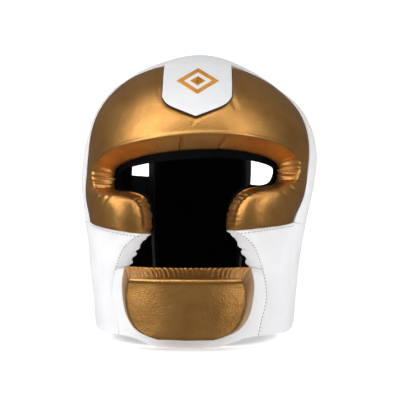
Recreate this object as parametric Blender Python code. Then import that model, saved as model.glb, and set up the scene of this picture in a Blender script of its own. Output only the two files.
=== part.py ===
"""Full-face boxing headgear: padded leather guard with a brow and cheek pad, a chin guard, white side
and crown pads, a black rear pad, a dark lining and a rear closure strap.

Metres, +Z up. The wearer faces -Y, +X is on the right of the front view, and the origin is on the
floor that the guard stands on, under the middle of its box.
"""

import math
from collections import namedtuple

import bmesh
import bpy
import numpy as np

MM = 0.001

# Outside of the padded shell.
SHELL_WIDTH = 225 * MM
SHELL_FRONT = 125 * MM
SHELL_BACK = 124.5 * MM
SHELL_TOP = 269 * MM
SHELL_SQUARENESS = 2.25

# Thickness of padding and lining together, at the widest level and at the top.
SIDE_WALL = 34.5 * MM
FRONT_WALL = 28 * MM
BACK_WALL = 26.5 * MM
TOP_WALL = 23 * MM

# Head cavity, measured inside the lining at the widest level.
CAVITY_WIDTH = SHELL_WIDTH - 2 * SIDE_WALL
CAVITY_FRONT = SHELL_FRONT - FRONT_WALL
CAVITY_BACK = SHELL_BACK - BACK_WALL
CAVITY_TOP = SHELL_TOP - TOP_WALL
CAVITY_SQUARENESS = 2.6
EQUATOR = 160 * MM
CROWN_TWIST = math.radians(2.7)

# Worn guards stand a little unevenly. Below the equator a whole level shifts sideways, and above it
# only the sides do. The sharpness is that of the change between the two.
SIDE_LEAN = 5 * MM
LEAN_SHARPNESS = 6

# Thicknesses and seams.
LINING = 9 * MM
SEAM_GAP = 0.8 * MM
CROWN_GAP = 0.6 * MM
LAYER_GAP = 2.4 * MM
SHELL_GAP = 1 * MM
SEAM_DROP = 2 * MM
SEAM_ROUND = 8 * MM
HEM_DROP = 9 * MM
HEM_ROUND = 15 * MM
EDGE_BANDS = 2 * MM, 7 * MM

# Face opening. The lean makes the wearer's left side of it a little higher.
BROW_HEIGHT = 188 * MM
CHEEK_SEAM = 104 * MM
EYE_CORNER = 47.5
SEAM_LEAN = 2.8 * MM
LEAN_TURN = 25
CHEEK_BULGE = 8 * MM

# Outer seam of the gold pad.
SIDE_SEAM = 61
CHEEK_CORNER_HEIGHT = 111 * MM
CROWN_RISE = 11.5 * MM
FRONT_TOP = SHELL_TOP - CROWN_RISE

# Centre panel on the forehead.
SHIELD_WIDTH = 62 * MM
SHIELD_TIP = 206.5 * MM
SHIELD_SHOULDER = 224.5 * MM
SHIELD_SLOPE = 0.68
SHIELD_CORNER = 10
PANEL_THICKNESS = 2.2 * MM

# Chin guard.
CHIN_TOP = 69.5 * MM
CHIN_OVERLAP = 3.5 * MM
CHIN_SEAM = 42
CHIN_TURN_GAP = 0.3
CHIN_PAD_WIDTH = 118 * MM
CHIN_PAD_BOTTOM = 8 * MM
CHIN_PAD_THICKNESS = 20 * MM
CHIN_DROP = 6 * MM
CHIN_FACE_SIDE_INSET = 5 * MM
CHIN_FACE_TOP_INSET = 8 * MM
CHIN_FACE_BOTTOM_INSET = 1.5 * MM
JAW_BOTTOM = 8 * MM

# Ear opening.
EAR_AZIMUTH = 99
EAR_HEIGHT = 143 * MM
EAR_HOLE_WIDTH = 32 * MM
EAR_HOLE_TALL = 50 * MM
EAR_TURN_GAP = 1.1
EAR_SIDES = 15, 9, 4, 4
EAR_LINING_SIDES = 15, 8, 3, 3

# Back of the guard.
EAR_PAD_BACK = 129
NECK_PAD_BACK = 147
NECK_PAD_LONG_BACK = 153
REAR_PAD_EDGE = 151
REAR_PAD_SHORT_EDGE = 157
REAR_PAD_TOP = 206 * MM
REAR_PAD_BOTTOM = 40 * MM
NECK_SEAM_BACK = 96 * MM
STRAP_WIDTH = 56 * MM
STRAP_THICKNESS = 2.5 * MM
STRAP_MIDDLE = 117.5 * MM
STRAP_SLANT = 11 * MM
STRAP_START = 114

# The floor's cut.
CUT_SIZE = 400 * MM

# The shell's and the cavity's level curves. Level is 0 at the bottom, 1 at the equator and 2 at the top.
# Rise is the height as a share of what lies below (-1 to 0) or above (0 to 1) the equator. The other
# columns are shares of the sizes above, aside being a share of SIDE_LEAN, by which a level stands
# towards +X. The last row mirrors the crown, so that it is smooth at its top.
Level = namedtuple(
    "Level", "level rise shell_width shell_front shell_back cavity_width cavity_front cavity_back aside"
)
LEVELS = [
    Level(0.00, -1.000, 0.845, 0.845, 0.830, 0.86, 0.875, 0.80, -0.94),
    Level(0.25, -0.750, 0.868, 0.865, 0.860, 0.90, 0.885, 0.85, -0.94),
    Level(0.50, -0.500, 0.908, 0.895, 0.905, 0.95, 0.920, 0.92, -0.84),
    Level(0.75, -0.250, 0.962, 0.958, 0.965, 0.98, 0.970, 0.97, -0.58),
    Level(1.00, 0.000, 1.000, 1.000, 1.000, 1.00, 1.000, 1.00, -0.02),
    Level(1.20, 0.270, 0.971, 0.971, 0.971, 0.96, 0.960, 0.96, 0.28),
    Level(1.40, 0.530, 0.860, 0.866, 0.866, 0.85, 0.850, 0.85, -0.14),
    Level(1.60, 0.755, 0.632, 0.642, 0.642, 0.63, 0.630, 0.63, -0.78),
    Level(1.80, 0.925, 0.326, 0.332, 0.332, 0.33, 0.330, 0.33, -0.50),
    Level(2.00, 1.000, 0.000, 0.000, 0.000, 0.00, 0.000, 0.00, 0.00),
    Level(2.20, 0.925, -0.326, -0.332, -0.332, -0.33, -0.330, -0.33, -0.50),
]

# Stations of the brow and cheek pad, from the cheek seam round the eye gap to the middle of the brow.
# Turns are shares of EYE_CORNER, and climbs are shares of the height from CHEEK_SEAM to BROW_HEIGHT:
# of the face's edge, of the edge where the gusset meets the lining, and of the lining's own edge.
# Rim turns are shares of SIDE_SEAM, and rim climbs are shares from CHEEK_CORNER_HEIGHT to FRONT_TOP.
Brow = namedtuple("Brow", "face_turn face_climb back_turn back_climb lining_climb rim_turn rim_climb")
BROW_STATIONS = [
    Brow(0.420, 0.000, 0.432, 0.000, 0.000, 0.912, 0.000),
    Brow(0.412, 0.150, 0.415, 0.150, 0.150, 0.928, 0.045),
    Brow(0.445, 0.300, 0.450, 0.315, 0.330, 0.956, 0.095),
    Brow(0.550, 0.398, 0.565, 0.430, 0.440, 0.980, 0.145),
    Brow(0.735, 0.425, 0.775, 0.452, 0.460, 0.988, 0.190),
    Brow(0.930, 0.452, 0.950, 0.474, 0.486, 0.989, 0.235),
    Brow(1.065, 0.560, 1.035, 0.555, 0.555, 0.989, 0.290),
    Brow(1.065, 0.710, 1.030, 0.655, 0.630, 0.992, 0.370),
    Brow(0.930, 0.835, 0.900, 0.735, 0.690, 1.015, 0.500),
    Brow(0.740, 0.915, 0.730, 0.795, 0.735, 1.055, 0.640),
    Brow(0.555, 0.962, 0.540, 0.848, 0.775, 1.055, 0.790),
    Brow(0.425, 0.985, 0.420, 0.872, 0.795, 0.935, 0.930),
    Brow(0.315, 0.999, 0.315, 0.887, 0.808, 0.700, 1.100),
    Brow(0.210, 1.008, 0.210, 0.896, 0.816, 0.470, 1.150),
    Brow(0.105, 1.013, 0.105, 0.902, 0.821, 0.235, 1.150),
    Brow(0.000, 1.015, 0.000, 0.904, 0.823, 0.000, 1.150),
]
RIM_JUNCTION = 11

# Stations of the jaw pad, from the cheek seam down. Face and back turns are the edges beside the mouth
# and the chin guard, as shares of CHIN_SEAM, and the rear turn is a share of SIDE_SEAM. Climb is the
# share of the height from JAW_BOTTOM to the cheek seam.
Jaw = namedtuple("Jaw", "face_turn back_turn climb rear_turn")
JAW_STATIONS = [
    Jaw(0.475, 0.489, 1.000, 0.912),
    Jaw(0.640, 0.575, 0.925, 0.934),
    Jaw(0.790, 0.690, 0.800, 0.970),
    Jaw(0.893, 0.810, 0.656, 1.011),
    Jaw(0.990, 0.945, 0.450, 1.070),
    Jaw(0.995, 0.975, 0.300, 1.114),
    Jaw(0.930, 0.940, 0.120, 1.165),
    Jaw(0.900, 0.915, 0.000, 1.200),
]

# Bottom edge of the neck pad, from the jaw seam to the back. Turn goes from 0 at the seam to 1 at
# NECK_PAD_BACK, and height is a share of REAR_PAD_BOTTOM.
Hem = namedtuple("Hem", "turn height")
NECK_HEM = [
    Hem(0.0, 0.20),
    Hem(0.2, 0.03),
    Hem(0.42, -0.04),
    Hem(0.62, 0.16),
    Hem(0.82, 0.60),
    Hem(1.0, 0.98),
]

# Seam between the crown and what lies below it, from the front to the back: azimuth in degrees, and
# height as a share from REAR_PAD_TOP to FRONT_TOP.
Crown = namedtuple("Crown", "azimuth height")
CROWN_SEAM = [
    Crown(-44, 0.935),
    Crown(-31, 0.985),
    Crown(-16, 1.000),
    Crown(0, 1.000),
    Crown(16, 1.000),
    Crown(31, 0.985),
    Crown(44, 0.935),
    Crown(57, 0.800),
    Crown(70, 0.665),
    Crown(84, 0.555),
    Crown(98, 0.450),
    Crown(112, 0.330),
    Crown(129, 0.180),
    Crown(151, 0.045),
    Crown(180, 0.000),
    Crown(209, 0.045),
]
CROWN_CORNERS = 45, 135

# Outline of the chin pad, from its bottom up: height as a share of the pad's height, and half-width as
# a share of half of CHIN_PAD_WIDTH.
Outline = namedtuple("Outline", "height half_width")
CHIN_OUTLINE = [
    Outline(0.00, 0.500),
    Outline(0.06, 0.680),
    Outline(0.13, 0.815),
    Outline(0.22, 0.900),
    Outline(0.34, 0.958),
    Outline(0.52, 0.996),
    Outline(0.76, 1.000),
    Outline(1.00, 0.930),
]

# Bottom and top of the chin bar from its middle to its seam: heights in shares of JAW_BOTTOM and
# CHIN_TOP. The first row mirrors the third.
Bar = namedtuple("Bar", "turn bottom top")
CHIN_BAR_ROWS = [
    Bar(-0.4, -0.02, 1.0),
    Bar(0.0, -0.18, 1.0),
    Bar(0.4, -0.02, 1.0),
    Bar(0.7, 0.72, 1.0),
    Bar(1.0, 1.00, 1.0),
]

GOLD = ((0.50, 0.29, 0.09, 1), 0.33, 0.9)
WHITE = ((0.86, 0.87, 0.89, 1), 0.45, 0.0)
BLACK = ((0.012, 0.012, 0.013, 1), 0.75, 0.0)


def spline(xs, ys, x):
    """Natural cubic spline through (xs, ys), read at x."""
    xs, ys, x = (np.asarray(values, float) for values in (xs, ys, x))
    step = np.diff(xs)
    system, load = np.eye(len(xs)), np.zeros(len(xs))
    for i in range(1, len(xs) - 1):
        system[i, i - 1 : i + 2] = step[i - 1], 2 * (step[i - 1] + step[i]), step[i]
        load[i] = 6 * ((ys[i + 1] - ys[i]) / step[i] - (ys[i] - ys[i - 1]) / step[i - 1])
    bend = np.linalg.solve(system, load)
    i = np.clip(np.searchsorted(xs, x) - 1, 0, len(xs) - 2)
    left, right, h = x - xs[i], xs[i + 1] - x, step[i]
    curve = (bend[i] * right**3 + bend[i + 1] * left**3) / (6 * h)
    return curve + (ys[i] / h - bend[i] * h / 6) * right + (ys[i + 1] / h - bend[i + 1] * h / 6) * left


def column(rows, name):
    return np.array([getattr(row, name) for row in rows], float)


def read(rows, key, name, at):
    """One column of a table as a smooth function of another."""
    keys, values = column(rows, key), column(rows, name)
    order = np.argsort(keys)
    return spline(keys[order], values[order], at)


def mirrored(rows, name, s, odd=False):
    """A column of a half table, read along the whole strip from one end (s 0) to the other (s 1)."""
    half = column(rows, name)
    whole = np.concatenate([-half if odd else half, half[-2::-1]])
    return spline(np.linspace(0, 1, len(whole)), whole, s)


def lerp(a, b, share):
    return a + (b - a) * share


def level_of(height):
    """Level of a height on the outside of the shell."""
    levels = np.linspace(-0.1, 2, 421)
    rise = spline(column(LEVELS, "level"), column(LEVELS, "rise"), levels)
    heights = np.where(rise < 0, EQUATOR * (1 + rise), EQUATOR + rise * (SHELL_TOP - EQUATOR))
    return np.interp(height, heights, levels)


def ring(azimuth, level, kind, width, front, back, top, squareness):
    """Points of the shell's or the cavity's surface at an azimuth in degrees and a level."""
    levels = column(LEVELS, "level")
    rise = spline(levels, column(LEVELS, "rise"), level)
    across = width / 2 * spline(levels, column(LEVELS, kind + "_width"), level)
    ahead = front * spline(levels, column(LEVELS, kind + "_front"), level)
    behind = back * spline(levels, column(LEVELS, kind + "_back"), level)
    angle = np.radians(azimuth)
    depth = np.where(np.cos(angle) > 0, ahead, behind)
    along_depth = np.abs(np.cos(angle)) / np.maximum(depth, 1e-6)
    along_width = np.abs(np.sin(angle)) / np.maximum(across, 1e-6)
    radius = (along_depth**squareness + along_width**squareness) ** (-1 / squareness)
    height = np.where(rise < 0, EQUATOR * (1 + rise), EQUATOR + rise * (top - EQUATOR))
    turned = angle + CROWN_TWIST * np.clip((level - 0.7) / 0.8, 0, 1)
    whole = 0.5 - 0.5 * np.tanh(LEAN_SHARPNESS * (level - 1))
    aside = SIDE_LEAN * spline(levels, column(LEVELS, "aside"), level) * lerp(np.sin(angle) ** 2, 1, whole)
    return np.stack([radius * np.sin(turned) + aside, -radius * np.cos(turned), height], -1)


def faces_of_wall(azimuth, level):
    cavity = CAVITY_WIDTH, CAVITY_FRONT, CAVITY_BACK, CAVITY_TOP, CAVITY_SQUARENESS
    shell = SHELL_WIDTH, SHELL_FRONT, SHELL_BACK, SHELL_TOP, SHELL_SQUARENESS
    return ring(azimuth, level, "cavity", *cavity), ring(azimuth, level, "shell", *shell)


def wall(azimuth, level, depth):
    """Points in the padded wall. Depth is in metres from the cavity, along the line to the shell."""
    azimuth, level, depth = np.broadcast_arrays(azimuth, level, depth)
    inside, outside = faces_of_wall(azimuth, level)
    thickness = np.linalg.norm(outside - inside, axis=-1, keepdims=True)
    return inside + (outside - inside) * depth[..., None] / thickness


def thickness_at(azimuth, level):
    """Thickness of the padded wall."""
    inside, outside = faces_of_wall(azimuth, level)
    return np.linalg.norm(outside - inside, axis=-1)


def shell_point(azimuth, level):
    return wall(azimuth, level, thickness_at(azimuth, level))


def lean(azimuth):
    return SEAM_LEAN * np.tanh(azimuth / LEAN_TURN)


def crown_height(azimuth):
    """Height of the crown's seam."""
    share = read(CROWN_SEAM, "azimuth", "height", np.abs(azimuth))
    return lerp(REAR_PAD_TOP, FRONT_TOP, share)


def under_crown(azimuth):
    """Height of the top seam of the pieces that meet the crown."""
    return crown_height(azimuth) - CROWN_GAP


def gold_rim(s):
    """Outer seam of the brow and cheek pad: azimuth and height."""
    azimuth = SIDE_SEAM * mirrored(BROW_STATIONS, "rim_turn", s, odd=True)
    height = lerp(CHEEK_CORNER_HEIGHT, FRONT_TOP, mirrored(BROW_STATIONS, "rim_climb", s))
    return azimuth, np.minimum(height, under_crown(azimuth))


def opening_edge(s, kind, climb_kind):
    """Edge of the face opening: azimuth and height."""
    azimuth = EYE_CORNER * mirrored(BROW_STATIONS, kind + "_turn", s, odd=True)
    height = lerp(CHEEK_SEAM, BROW_HEIGHT, mirrored(BROW_STATIONS, climb_kind + "_climb", s))
    return azimuth, height + lean(azimuth)


def brow_chart(s, t, u):
    face = opening_edge(s, "face", "face")
    back = opening_edge(s, "back", "back")
    azimuth, height = (lerp(back[i], face[i], u) for i in range(2))
    rim_azimuth, rim_height = gold_rim(s)
    return lerp(azimuth, rim_azimuth, t), lerp(level_of(height), level_of(rim_height), t)


def brow_lining_chart(s, t, u):
    azimuth, height = opening_edge(s, "back", "lining")
    rim_azimuth, rim_height = gold_rim(s)
    return lerp(azimuth, rim_azimuth, t), lerp(level_of(height), level_of(rim_height), t)


def jaw_edge(height, u):
    """Azimuth of the jaw pad's front edge at a height."""
    climb = (height - JAW_BOTTOM) / (CHEEK_SEAM - JAW_BOTTOM)
    face = read(JAW_STATIONS, "climb", "face_turn", climb)
    back = read(JAW_STATIONS, "climb", "back_turn", climb)
    return CHIN_SEAM * lerp(back, face, u)


def above_chin(climb):
    """1 at the cheek seam, falling to 0 at the top of the chin bar."""
    chin = (CHIN_TOP - JAW_BOTTOM) / (CHEEK_SEAM - JAW_BOTTOM)
    return np.clip((climb - chin) / (1 - chin), 0, 1)


def jaw_chart(side):
    def chart(s, t, u):
        climb = 1 - s
        back_turn = read(JAW_STATIONS, "climb", "back_turn", climb)
        face_turn = read(JAW_STATIONS, "climb", "face_turn", climb)
        front = CHIN_SEAM * lerp(back_turn, face_turn, u)
        rear = SIDE_SEAM * read(JAW_STATIONS, "climb", "rear_turn", climb)
        front_height = lerp(JAW_BOTTOM, CHEEK_SEAM, climb) + lean(side * front) * above_chin(climb)
        rear_height = lerp(JAW_BOTTOM, CHEEK_CORNER_HEIGHT, climb)
        level = lerp(level_of(front_height), level_of(rear_height), t)
        return side * lerp(front, rear, t), level

    return chart


def neck_seam(azimuth):
    """Height of the seam between the ear and neck pads."""
    corner = SIDE_SEAM * BROW_STATIONS[0].rim_turn
    return lerp(CHEEK_CORNER_HEIGHT, NECK_SEAM_BACK, (azimuth - corner) / (NECK_PAD_BACK - corner))


def neck_chart(side):
    back = NECK_PAD_LONG_BACK if side > 0 else NECK_PAD_BACK

    def chart(s, t, u):
        front = SIDE_SEAM * read(JAW_STATIONS, "climb", "rear_turn", t)
        azimuth = lerp(front, back, s)
        hem = REAR_PAD_BOTTOM * read(NECK_HEM, "turn", "height", s)
        return side * azimuth, lerp(level_of(hem), level_of(neck_seam(azimuth)), t)

    return chart


def ear_border(s):
    """Outer border of the ear pad from its lower front corner round by the top, a quarter of s to each
    of its four sides: azimuth and height."""
    quarter = np.floor(s * 4)
    share = s * 4 - quarter
    sides = [quarter == 0, quarter == 1, quarter == 2]
    rim_end = RIM_JUNCTION / (2 * len(BROW_STATIONS) - 2)
    rim_azimuth, rim_height = gold_rim(share * rim_end)
    rim_azimuth = rim_azimuth - EAR_TURN_GAP
    top_start = EAR_TURN_GAP - gold_rim(np.array(rim_end))[0]
    top_azimuth = lerp(top_start, EAR_PAD_BACK, share)
    rear_height = lerp(under_crown(EAR_PAD_BACK), neck_seam(EAR_PAD_BACK), share)
    low_azimuth = lerp(EAR_PAD_BACK, SIDE_SEAM * BROW_STATIONS[0].rim_turn, share)
    rear_azimuth = np.full_like(share, EAR_PAD_BACK)
    azimuth = np.select(sides, [-rim_azimuth, top_azimuth, rear_azimuth], low_azimuth)
    height = np.select(sides, [rim_height, under_crown(top_azimuth), rear_height], neck_seam(low_azimuth))
    return azimuth, height


def ear_chart(side):
    def chart(s, t, u):
        around = np.radians(225 - 360 * s)
        half_turn = math.degrees(EAR_HOLE_WIDTH / SHELL_WIDTH)
        hole_azimuth = EAR_AZIMUTH + half_turn * np.cos(around)
        hole_height = EAR_HEIGHT + EAR_HOLE_TALL / 2 * np.sin(around)
        azimuth, height = ear_border(s % 1)
        level = lerp(level_of(hole_height), level_of(height), t)
        return side * lerp(hole_azimuth, azimuth, t), level

    return chart


def crown_border(azimuth):
    """A point of the crown's seam on a flat map, where the distance from the middle is 2 - level."""
    reach = 2 - level_of(crown_height((azimuth + 180) % 360 - 180))
    return np.stack([reach * np.sin(np.radians(azimuth)), reach * np.cos(np.radians(azimuth))])


def crown_chart(s, t, u):
    front, back = CROWN_CORNERS
    s, t = np.broadcast_arrays(s, t)
    ends = (1 - t) * crown_border(lerp(-front, front, s)) + t * crown_border(lerp(-back, back - 360, s) % 360)
    sides = (1 - s) * crown_border(-lerp(front, back, t)) + s * crown_border(lerp(front, back, t))
    corners = (
        (1 - s) * (1 - t) * crown_border(np.full_like(s, -front))
        + s * (1 - t) * crown_border(np.full_like(s, front))
        + (1 - s) * t * crown_border(np.full_like(s, -back))
        + s * t * crown_border(np.full_like(s, back))
    )
    point = ends + sides - corners
    return np.degrees(np.arctan2(point[0], point[1])), 2 - np.hypot(point[0], point[1])


def rear_chart(s, t, u):
    azimuth = lerp(REAR_PAD_SHORT_EDGE, 360 - REAR_PAD_EDGE, s)
    top = under_crown((azimuth + 180) % 360 - 180)
    return azimuth, lerp(level_of(REAR_PAD_BOTTOM), level_of(top), t)


def strap_chart(s, t, u):
    azimuth = lerp(STRAP_START, 360 - STRAP_START, s)
    middle = STRAP_MIDDLE + STRAP_SLANT * (2 * s - 1)
    return azimuth, level_of(middle + STRAP_WIDTH * (t - 0.5))


def chin_bar_chart(s, t, u):
    turn = 2 * s - 1
    bottom = JAW_BOTTOM * read(CHIN_BAR_ROWS, "turn", "bottom", np.abs(turn))
    top = CHIN_TOP * read(CHIN_BAR_ROWS, "turn", "top", np.abs(turn))
    height = lerp(bottom, top, t)
    return turn * (jaw_edge(np.maximum(height, JAW_BOTTOM), u) - CHIN_TURN_GAP), level_of(height)


def chin_pad_chart(s, t, u):
    """The face (u 1) is smaller than the back, with the gusset between them."""
    bottom = CHIN_PAD_BOTTOM + CHIN_FACE_BOTTOM_INSET * u
    top = CHIN_TOP + CHIN_OVERLAP - CHIN_FACE_TOP_INSET * u
    half_width = CHIN_PAD_WIDTH / 2 * read(CHIN_OUTLINE, "height", "half_width", t) - CHIN_FACE_SIDE_INSET * u
    reach = SHELL_FRONT * LEVELS[1].shell_front + CHIN_PAD_THICKNESS * u
    azimuth = np.degrees(np.arcsin(half_width * (2 * s - 1) / reach))
    return azimuth, level_of(lerp(bottom, top, t))


def shield_chart(s, t, u):
    """The front panel: straight sides, and a bottom edge that runs down to a tip."""
    across = SHIELD_WIDTH / 2 * (2 * s - 1)
    out = np.abs(2 * s - 1)
    bottom = level_of(lerp(SHIELD_TIP, SHIELD_SHOULDER, lerp(out**SHIELD_CORNER, out, SHIELD_SLOPE)))
    azimuth = np.zeros(np.broadcast(s, t).shape)
    for _ in range(8):
        level = lerp(bottom, level_of(crown_height(azimuth)), t)
        reach = np.hypot(*np.moveaxis(shell_point(azimuth, level)[..., :2], -1, 0))
        azimuth = np.degrees(np.arcsin(np.clip(across / reach, -0.95, 0.95)))
    return azimuth, level


def cheek_bulge(s, t):
    """Extra fullness of the cheeks, next to the cheek seams."""
    near_end = np.clip(1 - np.minimum(s, 1 - s) / 0.2, 0, 1)
    return CHEEK_BULGE * np.sin(math.pi / 2 * near_end) * np.sin(math.pi * np.clip(t, 0, 1)) ** 0.7


def marks(length, count, banded):
    """Shares of a line of each length where its grid has points: a pad has two bands at each end."""
    length = np.asarray(length, float)[..., None]
    first = SEAM_GAP / 2 / length
    if not banded:
        return lerp(first, 1 - first, np.linspace(0, 1, count))
    second, third = (first + np.minimum(band / length, share) for band, share in zip(EDGE_BANDS, (0.1, 0.25)))
    inner = lerp(third, 1 - third, np.linspace(0, 1, count - 4))
    return np.concatenate([first, second, inner, 1 - second, 1 - first], -1)


def line_length(points):
    return np.linalg.norm(np.diff(points, axis=-2), axis=-1).sum(-1)


def ring_marks(sides):
    """Shares round a closed patch of four sides, with a number of points to each side."""
    starts = [k / 4 + np.arange(count) / count / 4 for k, count in enumerate(sides)]
    return np.concatenate(starts)


def grid_shares(chart, counts, closed, banded=True):
    """Shares (s, t) of a patch's grid points, so that its edge bands keep their real widths."""
    fine = np.linspace(0, 1, 25)
    if closed:
        line = ring_marks(counts[0])
        s_shares = np.repeat(line[:, None], counts[1], axis=1)
    else:
        s, t = np.meshgrid(fine, np.linspace(0, 1, counts[1]), indexing="ij")
        along_s = line_length(np.moveaxis(shell_point(*chart(s, t, 1.0)), 0, -2))
        s_shares = marks(along_s, counts[0], banded).T
    s, t = np.meshgrid(s_shares.mean(axis=1), fine, indexing="ij")
    return s_shares, marks(line_length(shell_point(*chart(s, t, 1.0))), counts[1], banded)


def round_profile(distance, width=SEAM_ROUND):
    """0 at a seam, rising as a quarter circle to 1 at the given distance from it."""
    share = np.clip(distance / width, 0, 1)
    return np.sqrt(1 - (1 - share) ** 2)


def hem_drop(azimuth, level):
    """How far the face draws in near the floor: fully at the sides, and not in the middle of the chin."""
    height = shell_point(azimuth, level)[..., 2]
    return HEM_DROP * np.sin(np.radians(azimuth)) ** 2 * (1 - round_profile(height, HEM_ROUND))


def distance_to_edge(chart, s, t, closed):
    """Distance of each grid point from the nearest edge of its patch."""
    surface = shell_point(*chart(s, t, 1.0))
    length_t = line_length(surface)[:, None]
    across = np.minimum(t, 1 - t) * length_t
    if closed:
        return across
    length_s = line_length(np.moveaxis(surface, 0, -2))[None, :]
    return np.minimum(across, np.minimum(s, 1 - s) * length_s)


def pad(name, chart, counts, look, collection, raised=0.0, drop=SEAM_DROP, bulge=None, closed=False):
    """A padded piece. Its chart gives azimuth and level at the shares s and t of a patch, at the back
    (u 0) and at the face (u 1). A raised pad lies on the shell, and the others fill the wall."""
    s, t = grid_shares(chart, counts, closed)
    edge = distance_to_edge(chart, s, t, closed)
    azimuth, level = chart(s, t, 1.0)
    top = thickness_at(azimuth, level) + raised - drop * (1 - round_profile(edge))
    if bulge is not None:
        top = top + bulge(s, t) * round_profile(edge)
    top = top - hem_drop(azimuth, level)
    azimuth_back, level_back = chart(s, t, 0.0)
    base = thickness_at(azimuth_back, level_back) + SHELL_GAP if raised else LINING
    face_points = wall(azimuth, level, top)
    back_points = wall(azimuth_back, level_back, base)
    return finish(closed_mesh(name, face_points, back_points, closed), name, look, collection)


def panel(name, chart, counts, look, collection, thickness):
    """A thin piece that lies on the shell, with a gap under it."""
    s, t = grid_shares(chart, counts, False, banded=False)
    azimuth, level = chart(s, t, 1.0)
    ground = thickness_at(azimuth, level) + SHELL_GAP
    face_points = wall(azimuth, level, ground + thickness)
    back_points = wall(azimuth, level, ground)
    return finish(closed_mesh(name, face_points, back_points, False), name, look, collection)


def lining(name, chart, counts, collection, closed=False):
    """The soft dark layer between the head and a pad."""
    s, t = grid_shares(chart, counts, closed, banded=False)
    azimuth, level = chart(s, t, 0.0)
    edge = distance_to_edge(chart, s, t, closed)
    drop = SEAM_DROP * (1 - round_profile(edge))
    face_points = wall(azimuth, level, LINING - LAYER_GAP)
    back_points = wall(azimuth, level, drop)
    return finish(closed_mesh(name, face_points, back_points, closed), name, BLACK, collection)


def closed_mesh(name, face_points, back_points, closed):
    """Closed mesh from two grids of points and the gusset between their edges."""
    rows, columns = face_points.shape[:2]
    shape = bmesh.new()
    face = [[shape.verts.new(point) for point in line] for line in face_points]
    back = [[shape.verts.new(point) for point in line] for line in back_points]
    for i in range(rows if closed else rows - 1):
        k = (i + 1) % rows
        for j in range(columns - 1):
            shape.faces.new((face[i][j], face[k][j], face[k][j + 1], face[i][j + 1]))
            shape.faces.new((back[i][j], back[i][j + 1], back[k][j + 1], back[k][j]))
        shape.faces.new((face[k][0], face[i][0], back[i][0], back[k][0]))
        shape.faces.new((face[i][-1], face[k][-1], back[k][-1], back[i][-1]))
    for j in range(0 if closed else columns - 1):
        shape.faces.new((face[0][j], face[0][j + 1], back[0][j + 1], back[0][j]))
        shape.faces.new((face[-1][j + 1], face[-1][j], back[-1][j], back[-1][j + 1]))
    bmesh.ops.recalc_face_normals(shape, faces=shape.faces)
    mesh = bpy.data.meshes.new(name)
    shape.to_mesh(mesh)
    shape.free()
    return mesh


def material(look):
    color, roughness, metallic = look
    name = {GOLD: "gold_leather", WHITE: "white_leather", BLACK: "black_fabric"}[look]
    made = bpy.data.materials.get(name)
    if made is None:
        made = bpy.data.materials.new(name)
        made.use_nodes = True
        shader = made.node_tree.nodes["Principled BSDF"]
        shader.inputs["Base Color"].default_value = color
        shader.inputs["Roughness"].default_value = roughness
        shader.inputs["Metallic"].default_value = metallic
    return made


def finish(mesh, name, look, collection):
    """Makes the object and gives it its material."""
    obj = bpy.data.objects.new(name, mesh)
    mesh.materials.append(material(look))
    mesh.shade_smooth()
    collection.objects.link(obj)
    return obj


def floor_cutter(collection):
    """A block whose top is the floor."""
    shape = bmesh.new()
    bmesh.ops.create_cube(shape, size=CUT_SIZE)
    mesh = bpy.data.meshes.new("floor_cutter")
    shape.to_mesh(mesh)
    shape.free()
    cutter = bpy.data.objects.new("floor_cutter", mesh)
    cutter.location.z = -CUT_SIZE / 2
    cutter.hide_render = True
    cutter.display_type = "WIRE"
    collection.objects.link(cutter)
    return cutter


def cut_flat(obj, cutter):
    """Takes off what would lie below the floor."""
    flat = obj.modifiers.new("Floor", "BOOLEAN")
    flat.operation = "DIFFERENCE"
    flat.solver = "EXACT"
    flat.object = cutter


def make_collection(name):
    made = bpy.data.collections.new(name)
    bpy.context.scene.collection.children.link(made)
    return made


def build_front(pieces):
    pad("brow_and_cheek_pad", brow_chart, (55, 10), GOLD, pieces, bulge=cheek_bulge)
    panel("forehead_shield", shield_chart, (9, 8), WHITE, pieces, PANEL_THICKNESS)
    lining("brow_lining", brow_lining_chart, (43, 6), pieces)


def build_sides(pieces, cutter):
    for name, side in (("left", 1), ("right", -1)):
        pad("jaw_pad_" + name, jaw_chart(side), (13, 8), WHITE, pieces)
        pad("ear_pad_" + name, ear_chart(side), (EAR_SIDES, 8), WHITE, pieces, closed=True)
        neck = pad("neck_pad_" + name, neck_chart(side), (13, 8), WHITE, pieces)
        cut_flat(neck, cutter)
        lining("jaw_lining_" + name, jaw_chart(side), (9, 4), pieces)
        lining("ear_lining_" + name, ear_chart(side), (EAR_LINING_SIDES, 5), pieces, closed=True)
        low = lining("neck_lining_" + name, neck_chart(side), (9, 4), pieces)
        cut_flat(low, cutter)


def build_chin(pieces, cutter):
    bar = pad("chin_bar", chin_bar_chart, (13, 7), WHITE, pieces)
    cut_flat(bar, cutter)
    low = lining("chin_lining", chin_bar_chart, (9, 4), pieces)
    cut_flat(low, cutter)
    pad("chin_pad", chin_pad_chart, (13, 10), GOLD, pieces, raised=CHIN_PAD_THICKNESS, drop=CHIN_DROP)


def build_back(pieces):
    pad("crown_pad", crown_chart, (15, 15), WHITE, pieces)
    lining("crown_lining", crown_chart, (13, 13), pieces)
    pad("rear_pad", rear_chart, (9, 10), BLACK, pieces)
    lining("rear_lining", rear_chart, (9, 8), pieces)
    panel("rear_strap", strap_chart, (19, 3), BLACK, pieces, STRAP_THICKNESS)


def main():
    for obj in list(bpy.data.objects):
        bpy.data.objects.remove(obj, do_unlink=True)
    pieces = make_collection("boxing_headgear")
    cutter = floor_cutter(make_collection("cutters"))
    build_front(pieces)
    build_sides(pieces, cutter)
    build_chin(pieces, cutter)
    build_back(pieces)


main()
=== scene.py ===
import math
from collections import namedtuple

import bmesh
import bpy
import numpy as np
from mathutils import Matrix, Vector


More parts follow.
